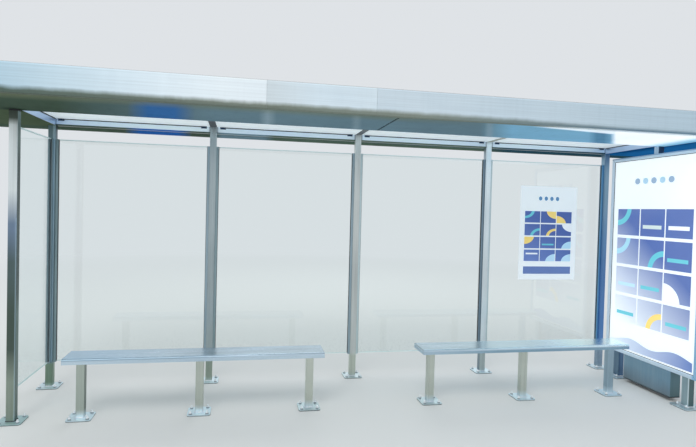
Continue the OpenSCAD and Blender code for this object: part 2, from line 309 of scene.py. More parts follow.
def brushed(name, light, dark, grain, rough, foot=0.0, streaks=0.0, extra=None,
            metal=1.0, plate=(0.86, 0.93, 0.96), middle_plate=None):
    """Brushed stainless steel. Colour is light turning to dark by slow clouds, with brush lines
    along the grain, rain streaks down it, and dirt over its foot. The base plate below a foot is
    painted in the tone of its lit top, which may be another, darker painted tone around the
    shelter's middle, and has a painted shadow along its lower edge."""
    b = Board(name)
    lines = [FINE if axis != grain else COARSE for axis in "xyz"]
    wide = [FINE / 9 if axis != grain else COARSE / 3 for axis in "xyz"]
    brush = b.noise(lines, 2.0, 0.6)
    bands = b.noise(wide, 2.0, 0.5, (3.1, 1.7, 0.4))
    clouds = b.noise((1.1, 1.1, 1.6), 4.0, 0.6, (5.0, 2.0, 1.0)).above(0.5, 0.5)
    colour = b.blend(clouds, light, dark)
    level = 1.0 + (brush - 0.5) * 0.16 + (bands - 0.5) * 0.22
    rough_map = rough + (brush - 0.5) * 0.14 + (clouds - 0.5) * 0.08
    if streaks:
        rain = b.noise((38.0, 38.0, 0.9), 3.0, 0.6, (0.0, 4.0, 2.0)).above(0.58, 0.2)
        level = level - rain * streaks
        rough_map = rough_map + rain * 0.1
    if foot:
        splash = b.noise((30.0, 30.0, 18.0), 4.0, 0.65)
        dirt = (1.0 - (b.z / foot - (splash - 0.5) * 0.9)).clip()
        spots = b.noise(160.0, 2.0, 0.5).above(0.64, 0.08)
        low = (1.0 - b.z / (foot * 4.0)).clip()
        colour = b.coats(colour,
                         (dirt * 0.22, (0.46, 0.45, 0.42)),
                         (spots * low * 0.30, (0.46, 0.39, 0.31)))
        rough_map = rough_map + dirt * 0.2
    if extra:
        colour, level, rough_map = extra(b, colour, level, rough_map)
    if foot:
        # painted light on the plate's top, a darker painted tone around the middle where given,
        # and a painted shadow along its lower edge
        if middle_plate:
            plate = b.blend(b.x.within(-0.7, 0.6, 0.4), plate, middle_plate)
        colour = b.coats(colour,
                         (b.z.below(PLATE_TOP + 0.0006, 0.0006) * 0.85, plate),
                         (b.z.below(0.0042, 0.003) * 0.8, (0.13, 0.14, 0.15)))
    return b.finish({"Base Color": b.tint(colour, level), "Metallic": metal,
                     "Roughness": rough_map.clip(), "Normal": b.dents(brush, FINE_DENT)})


def roof_edge_painted_shade(b, colour, level, rough_map):
    """Painted shade and reflection along the roof's rounded lower lip, wide and green at the
    left, a narrow blue shade at the right, where the flange below it is painted bright with the
    poster box's reflection and elsewhere painted in shade; a brighter rain line above it and a
    painted highlight on the upper edge."""
    ragged = (b.noise((9.0, 9.0, 1.0), 4.0, 0.6) - 0.5) * 0.02
    right = b.x.above(1.3, 1.0)
    # painted shade and reflection on the lip
    lip = (b.z + ragged * (1.0 - right)).below(SOFFIT + 0.030 - right * 0.014,
                                               0.028 - right * 0.012)
    drip = (b.z + ragged).within(SOFFIT + 0.045, SOFFIT + 0.055, 0.012)
    # painted highlight along the upper edge
    crest = b.z.above(ROOF_TOP - 0.010, 0.006)
    painted_shade = b.zones(b.x, -2.6, 2.8, (0.26, 0.33, 0.22), (0.56, 0.58, 0.51),
                    (0.32, 0.50, 0.62))
    # painted shade on the flange, with a painted reflection of the lit poster box at the right
    flange = b.coats((0.27, 0.33, 0.24),
                     (b.x.above(-1.4, 2.0), (0.46, 0.50, 0.44)),
                     (b.x.above(1.25, 0.4), (0.97, 1.0, 1.0)))
    colour = b.coats(colour, (lip * 0.85, painted_shade),
                     (b.z.below(SOFFIT + 0.0022, 0.002) * 0.9, flange))
    return colour, level + drip * 0.05 + crest * 0.10, rough_map + lip * 0.12


def behind_painted_shade(b, colour, level, rough_map):
    """The rear edge is dull, carries the roof edge's painted shade and highlight, and its lip
    takes on the rear soffit's painted reflection.
    """
    colour, level, rough_map = roof_edge_painted_shade(b, colour, level, rough_map)
    lip = b.z.below(SOFFIT + 0.020, 0.020)
    return b.blend(lip, colour, rear_painted_reflection(b)), level, rough_map + 0.05


def fading(start, end, hue):
    """A sheet of the roof's edge that turns to another hue from x = start to end."""
    def shade(b, colour, level, rough_map):
        colour = b.blend(((b.x - start) / (end - start)).clip(), colour, hue)
        return roof_edge_painted_shade(b, colour, level, rough_map)
    return shade


def seat_wear_and_painted_light(b, colour, level, rough_map):
    """Use polishes the top of a seat in patches and scratches it along; the rest is painted
    light. The top is painted paler over the right bench, darker at the left end and on both sides
    of the gap between the benches, and brightest at the right end; the front face is painted in
    shade at the right, the upper edge has a painted highlight, and at the left the upper edge is
    painted dark and is rougher."""
    top = b.z.above(SEAT_TOP - 0.010, 0.008)
    scratch = b.noise((2.5, 260.0, 40.0), 3.0, 0.7, (1.0, 0.0, 0.0)).above(0.63, 0.05)
    rim = b.z.within(SEAT_TOP - 0.016, SEAT_TOP - 0.004, 0.006)
    worn = b.noise((1.6, 9.0, 1.0), 3.0, 0.55, (2.0, 7.0, 0.0)).above(0.5, 0.35)
    dull_rim = b.z.above(SEAT_TOP - 0.016, 0.004) \
        * b.z.below(SEAT_TOP - 0.0006, 0.0008) * b.x.below(-1.2, 0.6)
    # painted light: a paler top at the right, shade on the right front face, a darker left end
    # and a dark left upper edge; the first coat is real wear
    colour = b.coats(
        colour,
        (top * worn * 0.4, (0.60, 0.66, 0.70)),
        (b.x.above(0.6, 1.2) * top * 0.5, (0.86, 0.98, 1.0)),
        (b.z.below(SEAT_TOP - 0.018, 0.010) * b.x.above(0.6, 1.0) * 0.75, (0.48, 0.63, 0.72)),
        (b.x.below(-1.85, 0.5) * top * 0.9, (0.68, 0.79, 0.88)),
        (dull_rim * 0.9, (0.60, 0.69, 0.75)))
    # painted light along the top, and a painted highlight on the upper edge
    along = b.x.above(1.75, 0.5) * 0.36 - b.x.within(-0.75, 0.95, 0.3) * 0.16
    level = level * (1.0 + top * along) + rim * 0.05 - scratch * top * 0.07
    return colour, level, rough_map + dull_rim * 0.2 - worn * top * 0.08


# The soffit's hues below are painted reflections of what its satin steel mirrors, GLARE that of
# the lit poster box; FAN is the camera's place in plan.
OLIVE = (0.30, 0.365, 0.315)     # hue of the satin soffit at the left
SLATE = (0.46, 0.565, 0.615)     # in the middle
BLUE = (0.26, 0.46, 0.70)        # in one patch at the left
SKY = (0.57, 0.78, 0.90)         # at the right
NAVY = (0.13, 0.42, 0.66)        # beyond the right side beam
GLARE = (0.96, 0.98, 1.0)        # beside the poster box
FAN = (-1.08, -4.47)             # where the soffit's bands of hue would meet


def fan(b):
    """The slope in plan of the line from FAN to a point: FAN lies under the camera, and the
    soffit's bands of painted reflection spread from it like the ribs of a fan, each beginning and
    ending at one slope."""
    return (b.x - FAN[0]) / (b.y - FAN[1])


def rear_painted_reflection(b):
    """The painted reflections in the rear soffit: olive, with a blue and a slate patch at the
    left and dark slate at the right."""
    r = fan(b)
    return b.coats(OLIVE,
                   (r.above(0.05, 0.2), (0.36, 0.44, 0.39)),
                   (r.within(-0.195, -0.106, 0.025), (0.18, 0.40, 0.71)),
                   (r.within(-0.050, 0.045, 0.020), SLATE),
                   (r.above(0.50, 0.05), (0.19, 0.32, 0.37)))


def soffit_sheet():
    """The satin underside of the roof, its colour painted reflection: olive at the left, one blue
    patch, slate in the middle, sky and the poster box's glare at the right, the glare also
    glowing, and navy beyond the side beam; olive again towards the lip, three pale streaks that
    are painted reflections of the posts, a dirty joint in the middle, a ring of painted shade
    round the front left post and a dark line where the sheet meets the lip."""
    b = Board("soffit_sheet")
    r = fan(b)
    inward = b.y - SOFFIT_FRONT
    brush = b.noise((COARSE, FINE, FINE), 2.0, 0.6)
    clouds = b.noise((1.6, 2.4, 1.0), 4.0, 0.6, (2.0, 1.0, 0.0))
    stains = b.noise((26.0, 9.0, 1.0), 5.0, 0.7, (4.0, 0.0, 0.0)).above(0.60, 0.12)
    # painted reflections of three posts, each along one slope from FAN
    streaks = r.within(0.033, 0.050, 0.016) * 0.6 + r.within(0.203, 0.217, 0.010) * 0.35 \
        + r.within(0.478, 0.492, 0.008) * 0.45
    # olive painted reflection towards the lip
    lip = inward.below(0.10, 0.18) * r.below(0.40, 0.2)
    # painted reflection of the lit poster box at the right end
    widening = ((b.x - 0.90) * 0.15).clip()
    strip = (inward - widening).below(0.0, 0.05) * b.x.above(1.12, 0.2)
    glare = r.above(0.768, 0.014).most(strip * 0.85) * b.x.below(SIDE_X, 0.02)
    fringe = b.x.within(SIDE_X - 0.15, SIDE_X + 0.1, 0.20) * glare
    front = b.coats(OLIVE,
                    (r.above(-0.19, 0.26), SLATE),
                    (r.within(-0.187, -0.106, 0.035), BLUE),
                    (r.above(0.50, 0.07), SKY),
                    (r.within(0.719, 0.756, 0.020) * 0.8, (0.38, 0.58, 0.72)),
                    (streaks, (0.66, 0.74, 0.79)),
                    (lip * 0.6, (0.52, 0.55, 0.45)),
                    (glare, GLARE),
                    (fringe * 0.9, (0.52, 0.80, 0.93)),
                    (b.x.above(SIDE_X, 0.02), NAVY))
    # painted reflection in the end soffits: olive at the left, navy at the right
    behind = b.y.above(WALL_FRONT, 0.004)
    ends = b.blend(b.x.above(0.0, 1.0), (0.335, 0.39, 0.31), NAVY)
    line = inward.below(0.0055, 0.004)
    joint = b.x.within(-0.0075, 0.0075, 0.002) * b.y.below(0.0, 0.1)
    # painted shade round the front left post
    halo = (1.0 - (reach(b.x - FIRST_X, b.y - Y_FRONT) - POST_HALF) / 0.07).clip()
    hue = b.coats(front,
                  (behind, ends),
                  (b.y.above(Y_REAR + POST_HALF, 0.004), rear_painted_reflection(b)),
                  (line.most(joint) * 0.75, (0.16, 0.18, 0.18)),
                  (halo * 0.6, (0.10, 0.13, 0.12)))
    hue = b.tint(hue, 1.0 + (brush - 0.5) * 0.30 + (clouds - 0.5) * 0.36 - stains * 0.07)
    # the painted reflection of the poster box also glows
    glow = b.tint(hue, glare * (1.0 - behind) * (1.0 - line) * 0.45)
    return b.finish({"Base Color": hue, "Metallic": 0.0, "Specular IOR Level": 0.0,
                     "Roughness": 0.38 + (brush - 0.5) * 0.12 + stains * 0.2,
                     "Emission Color": glow, "Emission Strength": 1.0,
                     "Normal": b.dents(brush, FINE_DENT)})


def post_painted_light(b, colour, level, rough_map):
    """Painted light and reflection on the posts: they are painted palest in the middle, where the
    fourth is the brightest, and bluer to both sides, the last one most of all low down. Each is
    painted duller below the glass, pale at its foot, brighter near its top and darker around a
    metre up. The first one has a painted gleam on its face and its inner side, like the fourth
    one's left side, is in painted shade, and the short one over the box is painted pale towards
    the benches and dark at its outer side."""
    fourth = POST_X[3]
    last_low = b.x.within(LAST_X - 0.1, LAST_X + 0.0295, 0.0006) * b.z.below(1.4, 0.9)
    along = b.coats(b.zones(b.x, FIRST_X, LAST_X, (0.44, 0.57, 0.62), (0.84, 0.86, 0.85),
                            (0.44, 0.61, 0.72)),
                    (b.x.within(fourth - 0.1, fourth + 0.1, 0.02), (0.93, 0.98, 1.0)),
                    (last_low, (0.10, 0.47, 0.78)))
    feet = b.zones(b.x, FIRST_X, LAST_X, (0.47, 0.56, 0.46), (0.76, 0.79, 0.74),
                   (0.59, 0.66, 0.70))
    above = b.z.above(GLASS_FOOT, 0.01)
    gleam = b.x.within(FIRST_X + 0.010, FIRST_X + 0.024, 0.006) * above
    inner = b.x.within(FIRST_X + 0.0295, FIRST_X + 0.0305, 0.0005) * above
    left_side = b.x.within(fourth - 0.0310, fourth - 0.0294, 0.0004)
    short = b.y.below(0.0, 0.1)
    # painted light, shade and reflection
    colour = b.coats(colour,
                     (0.75, along),
                     (b.z.below(GLASS_FOOT - 0.01, 0.03) * 0.8, feet),
                     (b.z.below(0.030, 0.035) * 0.5, (0.78, 0.84, 0.83)),
                     (gleam * 0.6, (0.80, 0.90, 0.96)),
                     (inner * 0.6, (0.14, 0.20, 0.24)),
                     (left_side * 0.7, (0.42, 0.51, 0.57)),
                     (short * b.x.above(LAST_X - 0.0290, 0.0006) * 0.8, (0.14, 0.24, 0.36)),
                     (short * b.x.below(LAST_X - 0.0295, 0.0006) * 0.8, (0.72, 0.80, 0.88)))
    # painted light: brighter near the top, darker around a metre up
    level = level * (1.0 + b.z.above(1.9, 0.5) * 0.14 - b.z.within(0.75, 1.25, 0.3) * 0.12)
    return colour, level, rough_map


def front_post_painted_light(b, colour, level, rough_map):
    """Painted light and reflection on the front post: its face is painted grey at the foot, dark
    at seat height, blue above it, bright towards the roof and in shade again right below it. Its
    inner side is painted grey and darkest halfway up, with a painted highlight on the edge
    between them."""
    rim = b.x.within(FIRST_X + 0.0235, FIRST_X + 0.0300, 0.003) * b.z.within(0.013, 1.5, 0.002)
    inner = b.x.above(FIRST_X + 0.0294, 0.0004) * b.z.above(0.013, 0.002)
    # painted reflection and shade up the front post
    up = b.coats((0.58, 0.63, 0.58),
                 (b.z.within(0.42, 1.20, 0.24), (0.27, 0.33, 0.29)),
                 (b.z.above(0.95, 0.25), (0.33, 0.40, 0.40)),
                 (b.z.above(1.30, 0.24), (0.48, 0.56, 0.66)),
                 (b.z.above(1.58, 0.24), (0.95, 0.98, 0.98)),
                 (b.z.above(2.20, 0.05), (0.40, 0.44, 0.40)),
                 (rim * 0.5, (0.72, 0.82, 0.88)),
                 (inner, b.blend(b.z.within(0.88, 2.0, 0.15), (0.37, 0.45, 0.43),
                                 (0.20, 0.27, 0.26))))
    return b.blend(0.9, colour, up), level, rough_map


def channel_painted_light(b, colour, level, rough_map):
    """Painted light and reflection on the glazing channels: those right of the posts are painted
    bright from the middle on, those left of them duller, and the one beside the last post blue."""
    right = b.blend(b.x.above(-0.7, 0.3), (0.59, 0.67, 0.69), (0.79, 0.86, 0.87))
    left = b.coats((0.63, 0.71, 0.75),
                   (b.x.above(0.7, 0.3), (0.52, 0.60, 0.66)),
                   (b.x.above(2.0, 0.3), (0.48, 0.72, 0.89)))
    hue = b.blend(b.x.beside(BAY).above(0.0, BAY * 0.01), left, right)
    return b.blend(b.y.above(Y_REAR - 0.02, 0.004) * 0.9, colour, hue), level, rough_map


def beam_painted_shade(b, colour, level, rough_map):
    """Painted shade in the corners where a beam meets a post, and the rear soffit's painted
    reflection on the lowest part of the rear beam."""
    corner = (1.0 - (abs(b.x.beside(BAY)) - POST_HALF) / 0.014).clip()
    low = b.z.below(SOFFIT + 0.014, 0.003) * b.y.above(0.2, 0.1)
    colour = b.coats(colour, (corner * 0.7, (0.16, 0.24, 0.32)), (low, rear_painted_reflection(b)))
    return colour, level, rough_map


def cross_beam_painted_shade(b, colour, level, rough_map):
    """Painted shade on the beams over the ceiling's joints: the left one nearly black, the right
    one pale, each with dark edges where the panels end."""
    hue = b.zones(b.x, POST_X[1], POST_X[3], (0.10, 0.11, 0.16), (0.28, 0.33, 0.36),
                  (0.72, 0.73, 0.68))
    edge = abs(b.x.beside(BAY)).above(0.0265, 0.002)
    return b.coats(colour, (0.9, hue), (edge, (0.08, 0.09, 0.10))), level, rough_map


def deck_joints(b, colour, level, rough_map):
    """The roof's upper sheets meet in five dark hair lines, with dirt beside them."""
    apart = abs(b.x.beside(DECK_SHEET))
    dirt = (1.0 - apart / 0.06).clip() * b.noise((9.0, 30.0, 1.0), 4.0, 0.7).above(0.5, 0.3)
    colour = b.coats(colour, (dirt * 0.35, (0.36, 0.37, 0.35)),
                     (apart.below(0.002, 0.001) * 0.8, (0.14, 0.15, 0.15)))
    return colour, level, rough_map + dirt * 0.2


def leg_painted_light(b, colour, level, rough_map):
    """Painted light and reflection on the bench legs: the last leg, beside the poster box, is
    painted bluer than the others and the first one duller, with a side in painted shade. Each leg
    is painted paler just above its plate."""
    first = bench_leg_x("left")[0]
    side = b.x.within(first + 0.0294, first + 0.0310, 0.0004)
    colour = b.coats(colour,
                     (b.x.above(2.0, 0.4) * 0.8, (0.58, 0.69, 0.77)),
                     (b.x.below(first + 0.2, 0.1) * 0.6, (0.66, 0.71, 0.68)),
                     (side, (0.45, 0.50, 0.47)),
                     (b.z.below(0.050, 0.045) * 0.75, (0.90, 0.96, 0.99)))
    return colour, level, rough_map


def box_leg_painted_light(b, colour, level, rough_map):
    """Painted light and shade on the poster box's legs: the front one pale grey on its inner side
    with a painted highlight along its near corner and dark green-grey in front, the rear one
    blue."""
    front = b.y.below(BOX_Y, 0.2)
    inner = b.x.below(BOX_X - 0.026, 0.006)
    corner = BOX_Y - BOX_REACH - BOX_LEG_HALF[1]
    gleam = b.y.within(corner - 0.002, corner + 0.008, 0.003) * front * inner
    colour = b.coats(b.blend(front, (0.37, 0.48, 0.60), (0.37, 0.46, 0.47)),
                     (inner, b.blend(front, (0.41, 0.51, 0.59), (0.68, 0.76, 0.78))),
                     (gleam * 0.8, (0.93, 0.98, 1.0)))
    return colour, level, rough_map


def opal_ceiling():
    """Opal sheet lit evenly from above, a little dusty towards its rear edge."""
    b = Board("opal_ceiling")
    dust = b.noise(14.0, 4.0, 0.65).above(0.56, 0.3)
    rear = b.y.above(Y_REAR - 0.07, 0.10)
    colour = b.blend(dust * 0.35 + rear * 0.15, (0.91, 0.94, 0.95), (0.72, 0.74, 0.74))
    glow = b.blend(dust * 0.2 + rear * 0.1, (0.85, 0.89, 0.92), (0.60, 0.63, 0.66))
    return b.finish({"Base Color": colour, "Roughness": 0.42 + dust * 0.2,
                     "Emission Color": glow, "Emission Strength": 0.32})


THROUGH = (0.965, 0.985, 0.98, 1.0)    # the light that clear glass lets through


def clear_glass():
    """Toughened glass: clear where it is looked through, mirroring by 0.04 + 0.96
    times the fifth power of the slant, with bright ground edges above and below, and
    smears and splashes that grow towards the foot."""
    b = Board("clear_glass")
    slant = b.node("ShaderNodeLayerWeight", {}, {"Blend": 0.5}, "Facing")
    mirror = 0.04 + slant ** 5.0 * 0.96
    smear = b.noise((2.2, 2.2, 1.1), 4.0, 0.6, (1.0, 0.0, 3.0)).above(0.55, 0.35)
    wipes = b.noise((5.0, 5.0, 70.0), 2.0, 0.5, (0.0, 2.0, 0.0)).above(0.6, 0.2)
    splash = b.noise((60.0, 60.0, 45.0), 4.0, 0.7).above(0.58, 0.12)
    foot = (1.0 - (b.z - GLASS_FOOT) / 0.35).clip()
    edge = b.z.above(GLASS_TOP - 0.0085, 0.002).most(b.z.below(GLASS_FOOT + 0.005, 0.002))
    film = smear * 0.010 + wipes * 0.008 + splash * foot * 0.10 + foot * 0.015
    share = (mirror + film + edge * 0.95).clip()
    dull = (edge * 0.9 + foot * splash * 0.8).clip()
    return b.finish({"Base Color": b.blend(edge, (0.93, 0.96, 0.97), (0.88, 0.95, 0.95)),
                     "Metallic": 1.0 - dull, "Roughness": 0.02 + edge * 0.4 + film * 1.2},
                    (share, THROUGH))


PAPER = (0.95, 0.975, 0.985)     # the white of the prints
COLUMNS, ROWS = 3.0, 4.0         # and their tiles


def print_tiles(b, across, up, low, high, side, seed, pale, deep):
    """A made-up geometric print: blue tiles, pale turning to deep, with a quarter
    disc, a ring or a bar in each, on white. across and up run from 0 to 1."""
    u = (across - side) / (1.0 - 2.0 * side)
    v = (up - low) / (high - low)
    column, row = (u * COLUMNS).floor(), (v * ROWS).floor()
    fu, fv = (u * COLUMNS).wrap(), (v * ROWS).wrap()
    field = u.within(0.0, 1.0, 0.002) * v.within(0.0, 1.0, 0.002)
    tile = fu.within(0.02, 0.98, 0.006) * fv.within(0.05, 0.95, 0.01) * field
    pick, turn_u, turn_v, shape = [b.random(column, row, seed + step)
                                   for step in (0.0, 3.0, 5.0, 9.0)]
    cu, cv = abs(fu - turn_u.above(0.5, 0.01)), abs(fv - turn_v.above(0.5, 0.01))
    apart = reach(cu, cv)
    ring = apart.within(0.44, 0.62, 0.015)
    bar = cv.within(0.30, 0.42, 0.015) * cu.within(0.12, 0.86, 0.01)
    drawn = (apart.below(0.62, 0.015) * shape.below(0.38, 0.01)) \
        .most(ring * shape.within(0.38, 0.72, 0.01)).most(bar * shape.above(0.72, 0.01))
    motif = b.coats((0.42, 0.78, 0.84),
                    (pick.above(0.30, 0.01), (0.74, 0.88, 0.97)),
                    (pick.above(0.62, 0.01), (0.98, 0.86, 0.50)),
                    (pick.above(0.76, 0.01), (0.95, 0.97, 0.99)))
    return b.coats(PAPER, (tile, b.blend((u * 0.7 + v * 1.1 - 0.1).clip(), pale, deep)),
                   (drawn * tile, motif))


def disc_row(step, rise, count, radius, soft):
    """A row of discs, one in each whole step from 0 to count; rise, like radius, is in
    steps, from the row's middle."""
    return reach(step.wrap() - 0.5, rise).below(radius, soft) * step.within(0.0, count, 0.01)


def poster_print(b, across, up, seed):
    """The whole made-up poster: a row of discs above, tiles that fade towards one
    lower corner, and a wave below."""
    tiles = print_tiles(b, across, up, 0.155, 0.745, 0.085, seed,
                        (0.93, 0.96, 0.99), (0.35, 0.44, 0.68))
    step = (across - 0.27) / 0.46 * 5.0
    discs = disc_row(step, (up - 0.875) / 0.046, 5.0, 0.33, 0.04)
    odd = (step.floor() * 0.5).wrap().above(0.25, 0.1)
    crest = 0.075 + (across * 13.0 + seed).sine() * 0.012
    wave = up.below(crest, 0.004) * up.above(0.028, 0.002)
    return b.coats(tiles,
                   (discs, b.blend(odd, (0.58, 0.68, 0.78), (0.66, 0.80, 0.88))),
                   (wave * across.within(0.05, 0.95, 0.002),
                    b.blend(across, (0.88, 0.93, 0.98), (0.36, 0.46, 0.70))))


def lit_poster(name, mirrored, seed):
    """An opal sheet with a printed poster, lit from behind: brighter over the lamps,
    dimmer at its borders."""
    b = Board(name)
    across = (BOX_REAR - b.y) / (BOX_REAR - BOX_FRONT)
    if mirrored:
        across = 1.0 - across
    up = (b.z - BOX_LOW) / (BOX_HIGH - BOX_LOW)
    art = poster_print(b, across, up, seed)
    lamps = (up * 4.0).wrap() - 0.5
    border = (across * (1.0 - across) * 4.0).above(0.12, 0.35) \
        * (up * (1.0 - up) * 4.0).above(0.08, 0.3)
    uneven = b.noise((0.8, 1.7, 1.3), 2.0, 0.5)
    glow = 0.93 + uneven * 0.1 - lamps * lamps * 0.16 - (1.0 - border) * 0.08
    return b.finish({"Base Color": b.tint(art, 0.9), "Roughness": 0.16 + uneven * 0.05,
                     "Emission Color": b.tint(art, glow), "Emission Strength": 0.51})


def paper_notice():
    """The notice on the glass: matt printed card, faintly waved, with a faint painted glow."""
    b = Board("printed_card")
    low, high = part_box("glass_notice")
    across = (b.x - low.x) / (high.x - low.x)
    up = (b.z - low.z) / (high.z - low.z)
    tiles = print_tiles(b, across, up, 0.19, 0.74, 0.08, 21.0,
                        (0.42, 0.52, 0.76), (0.30, 0.40, 0.66))
    foot = across.within(0.08, 0.92, 0.002) * up.within(0.06, 0.14, 0.002)
    discs = disc_row((across - 0.3) / 0.4 * 4.0, (up - 0.87) / 0.075, 4.0, 0.3, 0.05)
    art = b.coats(tiles, (foot, (0.40, 0.50, 0.72)), (discs, (0.35, 0.55, 0.72)))
    waves = b.noise((3.0, 3.0, 2.0), 2.0, 0.5)
    fibre = b.noise(220.0, 3.0, 0.6)
    return b.finish({"Base Color": b.tint(art, 0.90 + waves * 0.06 + fibre * 0.03),
                     "Roughness": 0.55 + fibre * 0.15,
                     # painted light: the card glows faintly
                     "Emission Color": art, "Emission Strength": 0.20,
                     "Normal": b.dents(waves, 0.004)})


def satin_frame():
    """Anodised frame bars, with a painted blue reflection on the front bar and painted shade on
    top, and a dark hair line where each corner is mitred."""
    b = Board("anodised_frame")
    mid_y, half_y = (BOX_REAR + BOX_FRONT) / 2, (BOX_REAR - BOX_FRONT) / 2
    mid_z, half_z = (BOX_HIGH + BOX_LOW) / 2, (BOX_HIGH - BOX_LOW) / 2
    seam = abs((abs(b.y - mid_y) - half_y) - (abs(b.z - mid_z) - half_z))
    brush = b.noise(300.0, 2.0, 0.5)
    handled = b.noise((6.0, 6.0, 3.0), 4.0, 0.6).above(0.55, 0.4)
    colour = b.coats((0.87, 0.94, 0.99),
                     (handled, (0.80, 0.88, 0.96)),
                     # painted reflection on the front bar and painted shade on top
                     (b.y.below(BOX_FRONT + 0.045, 0.01) * 0.8, (0.55, 0.76, 0.91)),
                     (b.z.above(BOX_HIGH - 0.012, 0.006) * 0.6, (0.24, 0.46, 0.64)),
                     (seam.below(0.0011, 0.0006), (0.12, 0.13, 0.15)))
    return b.finish({"Base Color": colour, "Metallic": 0.35,
                     "Roughness": 0.34 + handled * 0.1 + (brush - 0.5) * 0.08,
                     "Normal": b.dents(brush, 0.00003)})


def satin_paint(name, light, dark, foot, streak, end=-9.0):
    """Satin paint on sheet: orange peel, vertical rain marks and dust at the foot, which ends in
    a painted shadow along the lower edge. What lies in front of y = end is painted in shade;
    nothing is, if no end is given."""
    b = Board(name)
    peel = b.noise(260.0, 2.0, 0.5)
    clouds = b.noise((3.0, 3.0, 2.0), 4.0, 0.6)
    rain = b.noise((55.0, 55.0, 2.0), 3.0, 0.6).above(0.52, 0.3)
    dust = (1.0 - (b.z - foot) / 0.16 + (clouds - 0.5)).clip()
    colour = b.coats(light,
                     (clouds, dark),
                     (rain * streak, (0.70, 0.74, 0.76)),
                     (dust * 0.5, (0.42, 0.40, 0.37)),
                     # painted shade on the end and a painted shadow along the lower edge
                     (b.y.below(end + 0.002, 0.002) * 0.6, (0.28, 0.41, 0.41)),
                     (b.z.below(foot + 0.010, 0.006) * 0.8, (0.12, 0.14, 0.15)))
    return b.finish({"Base Color": colour, "Roughness": 0.38 + dust * 0.3 + (peel - 0.5) * 0.1,
                     "Metallic": 0.25, "Normal": b.dents(peel, 0.00008)})


def rubber(name, colour):
    """Weathered rubber with a grey bloom."""
    b = Board(name)
    bloom = b.noise((40.0, 40.0, 12.0), 4.0, 0.65)
    return b.finish({"Base Color": b.blend(bloom, colour, (0.24, 0.25, 0.26)),
                     "Roughness": 0.62 + bloom * 0.2, "Normal": b.dents(bloom, 0.0002)})


def weld_metal():
    """Brushed-off weld, bright with a blue heat tint; it is painted in shade at the front left
    post."""
    b = Board("weld_metal")
    heat = b.noise(45.0, 3.0, 0.6)
    grit = b.noise(420.0, 2.0, 0.5)
    front_left = b.x.below(FIRST_X + 0.1, 0.05) * b.y.below(Y_FRONT + 0.1, 0.05)
    colour = b.coats((0.96, 0.96, 0.94), (heat.above(0.5, 0.4), (0.82, 0.86, 0.92)),
                     (front_left, (0.34, 0.37, 0.38)))
    return b.finish({"Base Color": colour, "Metallic": 1.0,
                     "Roughness": 0.36 + grit * 0.2, "Normal": b.dents(grit, 0.0002)})


def zinc(name, light, dark, metal=0.9, painted_shade=0.0):
    """Plated fixings, darker and stained in patches; whitish zinc has less metal, and painted
    shade lies on what is less than 18 mm above the ground."""
    b = Board(name)
    stain = b.noise(90.0, 3.0, 0.6)
    colour = b.blend(stain.above(0.5, 0.5), light, dark)
    if painted_shade:
        # painted shade low down
        colour = b.blend(b.z.below(0.018, 0.005) * painted_shade, colour, (0.44, 0.52, 0.55))
    return b.finish({"Base Color": colour, "Metallic": metal,
                     "Roughness": 0.34 + stain * 0.25})


# Surfaces. A shape is its points, one in a row, and its faces as lists of point numbers

SHARP = math.radians(35.0)       # from this angle on an edge looks sharp
ROUND = 5                        # points in a quarter circle
AIR = 0.0002                     # between a small piece and what it lies against
CLIP_DOWN, CLIP_THICK = 0.0020, 0.0024    # a clip's strap: middle below the panel


def rings_to_faces(rings, around, closed_path=False):
    """Quads between neighbouring rings of a grid whose rings close on themselves."""
    r = np.arange(rings if closed_path else rings - 1)[:, None]
    a = np.arange(around)[None, :]
    r2, a2 = (r + 1) % rings, (a + 1) % around
    quads = np.stack([r * around + a, r * around + a2, r2 * around + a2, r2 * around + a], -1)
    return quads.reshape(-1, 4).tolist()


def capped(grid):
    """The shape of a grid of rings, closed at both ends."""
    rings, around = grid.shape[:2]
    faces = rings_to_faces(rings, around)
    faces.append(list(range(around))[::-1])
    faces.append([(rings - 1) * around + k for k in range(around)])
    return grid.reshape(-1, 3), faces


def carried(profile, path, side, up, closed_path=False):
    """A closed profile carried along a path: each point is the path point plus the
    profile's first number along side and its second along up, which are the same
    everywhere or given for each path point. Open ends are capped."""
    side, up = np.broadcast_to(side, path.shape), np.broadcast_to(up, path.shape)
    points = (path[:, None, :] + profile[None, :, :1] * side[:, None, :]
              + profile[None, :, 1:] * up[:, None, :])
    if closed_path:
        return points.reshape(-1, 3), rings_to_faces(*points.shape[:2], True)
    return capped(points)


def angles(count):
    """That many angles spread evenly round a circle."""
    return np.arange(count) / count * 2 * np.pi


def lathed(rows, angle):
    """A capped shape round the Z axis: each row is a radius, one number or one for
    each angle, and a height."""
    return capped(np.stack([np.stack(np.broadcast_arrays(
        radius * np.cos(angle), radius * np.sin(angle), height), -1) for radius, height in rows]))


def quarter_round(width, height):
    """The profile of a bead in a corner: a quarter of an oval and its middle."""
    turn = np.linspace(0, np.pi / 2, ROUND)
    arc = np.stack([width * np.cos(turn), height * np.sin(turn)], -1)
    return np.concatenate([[[0.0, 0.0]], arc])


def repeated(shape, places):
    """The same shape at every place, as one shape."""
    points, faces = shape
    places = np.asarray(places, float)
    all_points = (points[None] + places[:, None, :]).reshape(-1, 3)
    all_faces = [[corner + k * len(points) for corner in face]
                 for k in range(len(places)) for face in faces]
    return all_points, all_faces


def together(shapes):
    """Several shapes as one."""
    points, faces, start = [], [], 0
    for shape_points, shape_faces in shapes:
        points.append(shape_points)
        faces += [[corner + start for corner in face] for face in shape_faces]
        start += len(shape_points)
    return np.concatenate(points), faces


